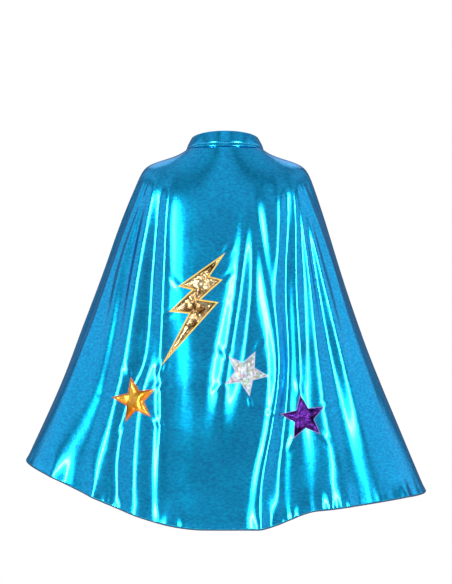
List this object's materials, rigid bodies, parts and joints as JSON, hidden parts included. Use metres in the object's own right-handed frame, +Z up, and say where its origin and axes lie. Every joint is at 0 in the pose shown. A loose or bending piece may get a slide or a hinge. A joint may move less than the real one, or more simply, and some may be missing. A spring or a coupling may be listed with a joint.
{
  "type": "superhero cape",
  "caption": "Child's superhero cape: flared metallic cloth with a dark lining, a stand collar closed by a hook-and-loop tab, and padded bolt and star appliques on the back.",
  "frame": {"origin": "middle of the neck opening, level with the collar's seam at the sides of the neck", "axes": "+Z up along the wearer's neck, +Y the way the wearer faces, -Y the wearer's back with the appliques, +X the wearer's right"},
  "size_m": [0.6346, 0.2041, 0.6198],
  "materials": {
    "turquoise_foil_knit": "turquoise metallic foil printed on a polyester knit, with a fine grain",
    "navy_satin_lining": "dark navy satin, smooth and slightly glossy",
    "fusible_stiffener": "white non-woven stiffener, matte",
    "turquoise_thread": "spun polyester sewing thread, slightly glossy",
    "hook_tape": "black nylon tape with moulded hooks",
    "loop_tape": "black nylon tape with a brushed pile of loops",
    "wadding": "white polyester wadding",
    "gold_foil_cloth": "gold foil cloth, crinkled",
    "gold_thread": "gold rayon embroidery thread in a dense satin stitch",
    "orange_foil_cloth": "orange foil cloth, crinkled",
    "rust_thread": "rust rayon embroidery thread in a zigzag stitch",
    "silver_glitter_cloth": "silver holographic glitter cloth",
    "silver_thread": "silver-white rayon embroidery thread in a zigzag stitch",
    "purple_holographic_foil": "purple holographic foil cloth, crinkled",
    "lilac_thread": "lilac rayon embroidery thread in a zigzag stitch",
    "satin_tape": "white woven satin tape",
    "satin_label": "white woven satin label, blank"
  },
  "bodies": {
    "cape": {"outer_shell": "turquoise_foil_knit", "lining": "navy_satin_lining", "collar_outer": "turquoise_foil_knit", "collar_stiffener": "fusible_stiffener", "collar_inner": "turquoise_foil_knit", "collar_topstitching": "turquoise_thread", "loop_patch": "loop_tape", "loop_patch_stitching": "turquoise_thread", "bolt_wadding": "wadding", "bolt_cloth": "gold_foil_cloth", "bolt_edge_stitching": "gold_thread", "orange_star_wadding": "wadding", "orange_star_cloth": "orange_foil_cloth", "orange_star_edge_stitching": "rust_thread", "silver_star_cloth": "silver_glitter_cloth", "silver_star_edge_stitching": "silver_thread", "purple_star_wadding": "wadding", "purple_star_cloth": "purple_holographic_foil", "purple_star_edge_stitching": "lilac_thread"},
    "closure_tab": {"closure_tab_outer": "turquoise_foil_knit", "closure_tab_stiffener": "fusible_stiffener", "closure_tab_inner": "turquoise_foil_knit", "hook_patch": "hook_tape", "hook_patch_stitching": "turquoise_thread"},
    "hanging_loop": {"hanging_loop": "satin_tape"},
    "size_label": {"size_label": "satin_label"}
  },
  "joints": [
    {"name": "closure_peel", "type": "hinge", "parent": "cape", "child": "closure_tab", "pos_m": [-0.00417, 0.06069, -0.00196], "axis": [0.0221, -0.3383, 0.9408], "range_deg": [0, 130]},
    {"name": "hanging_loop_swing", "type": "hinge", "parent": "cape", "child": "hanging_loop", "pos_m": [0, -0.0548, 0.002], "axis": [1, 0, 0], "range_deg": [0, 150]},
    {"name": "size_label_flip", "type": "hinge", "parent": "cape", "child": "size_label", "pos_m": [0.03232, -0.04543, 0.002], "axis": [0.829, 0.5592, 0], "range_deg": [0, 150]}
  ]
}
